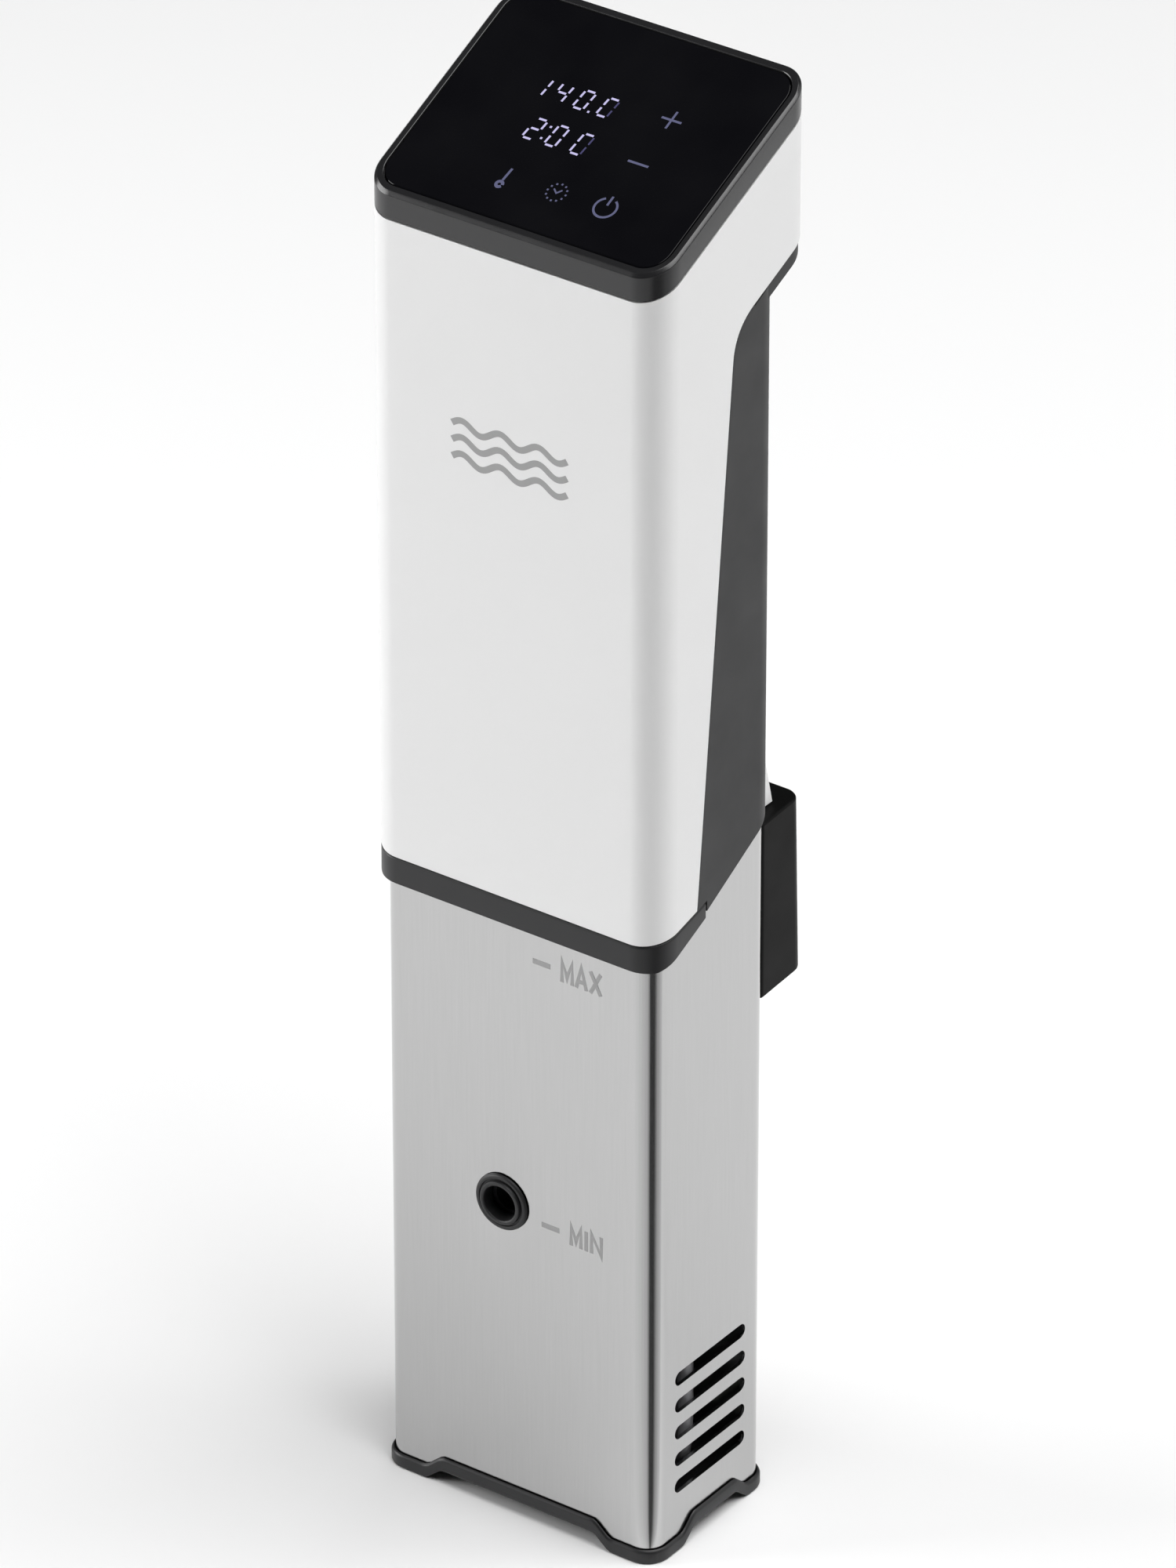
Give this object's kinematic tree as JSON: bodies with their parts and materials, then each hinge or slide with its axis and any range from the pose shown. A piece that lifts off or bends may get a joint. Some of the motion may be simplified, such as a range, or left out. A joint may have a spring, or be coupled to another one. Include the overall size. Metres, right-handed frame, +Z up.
{
  "type": "sous vide circulator",
  "caption": "Clip-on immersion circulator: steel sleeve with heater and pump, white and grey grip, tilted touch panel, sprung rear clamp.",
  "frame": {"origin": "middle of the whole object's footprint, on the surface that its feet stand on", "axes": "+Z up along the body, -Y out of the front face with the water outlet, +X to the right seen from the front"},
  "size_m": [0.0774, 0.0681, 0.3487],
  "materials": {
    "brushed_steel": "fine upright brushing",
    "plain_steel": "plain turned steel",
    "dark_steel": "dull grey steel",
    "brass": "turned",
    "aluminium": "extruded, plain",
    "white_shell": "satin white, fine moulded surface",
    "grey_shell": "matt dark grey",
    "black_plastic": "satin black",
    "bezel_plastic": "satin dark grey with bright edges",
    "pale_plastic": "natural nylon",
    "black_component": "moulded black",
    "yellow_winding": "taped winding",
    "circuit_board": "green solder mask",
    "black_rubber": "matt",
    "red_silicone": "matt",
    "black_glass": "polished black"
  },
  "bodies": {
    "housing": {"housing_base": "black_plastic", "sleeve_seal": "red_silicone", "front_housing": "white_shell", "rear_housing": "grey_shell", "cord_gland": "black_rubber", "top_bezel": "bezel_plastic", "glass_gasket": "black_rubber", "touch_glass": "black_glass", "display_board": "circuit_board", "led_display": "black_component", "display_carrier": "black_plastic", "buzzer": "black_component", "mount_damper_1": "black_rubber", "mount_damper_2": "black_rubber", "mount_damper_3": "black_rubber", "motor_mount": "dark_steel", "motor_body": "dark_steel", "shaft_tube": "plain_steel", "upper_bushing": "brass", "lower_bushing": "brass", "shaft_seal": "black_rubber", "pump_volute": "black_component", "pump_inlet_cover": "black_component", "heater_gasket": "red_silicone", "heater_flange": "plain_steel", "heater_element": "dark_steel", "temp_probe": "plain_steel", "level_probe_1": "plain_steel", "level_probe_2": "plain_steel", "heatsink": "aluminium", "triac": "black_component", "thermal_cutout": "black_component", "power_board": "circuit_board", "power_relay": "black_component", "power_transformer": "yellow_winding", "power_capacitor": "black_component", "clamp_bracket": "grey_shell", "bracket_screw_1": "dark_steel", "bracket_screw_2": "dark_steel", "clamp_pin": "plain_steel", "clamp_spring": "plain_steel"},
    "rotor": {"motor_shaft": "plain_steel", "shaft_coupler": "brass", "drive_shaft": "plain_steel", "impeller": "pale_plastic"},
    "clamp": {"clamp_lever": "white_shell", "clamp_jaw": "black_plastic", "jaw_pad_1": "black_rubber", "jaw_pad_2": "black_rubber"},
    "sleeve": {"steel_sleeve": "brushed_steel", "sleeve_trim": "black_plastic", "sleeve_floor": "black_plastic", "outlet_grommet": "black_rubber"}
  },
  "joints": [
    {"name": "impeller_spin", "type": "hinge", "parent": "housing", "child": "rotor", "pos_m": [0.00435, -0.01038, 0.0807], "axis": [0, 0, 1], "continuous": true},
    {"name": "clamp_hinge", "type": "hinge", "parent": "housing", "child": "clamp", "pos_m": [0, 0.01812, 0.19029], "axis": [1, 0, 0], "range_deg": [0, 14], "stiffness_Nm_per_rad": 1.2, "springref_deg": -14.32},
    {"name": "sleeve_slide", "type": "slide", "parent": "housing", "child": "sleeve", "axis": [0, 0, -1], "range_m": [0, 0.17]}
  ]
}
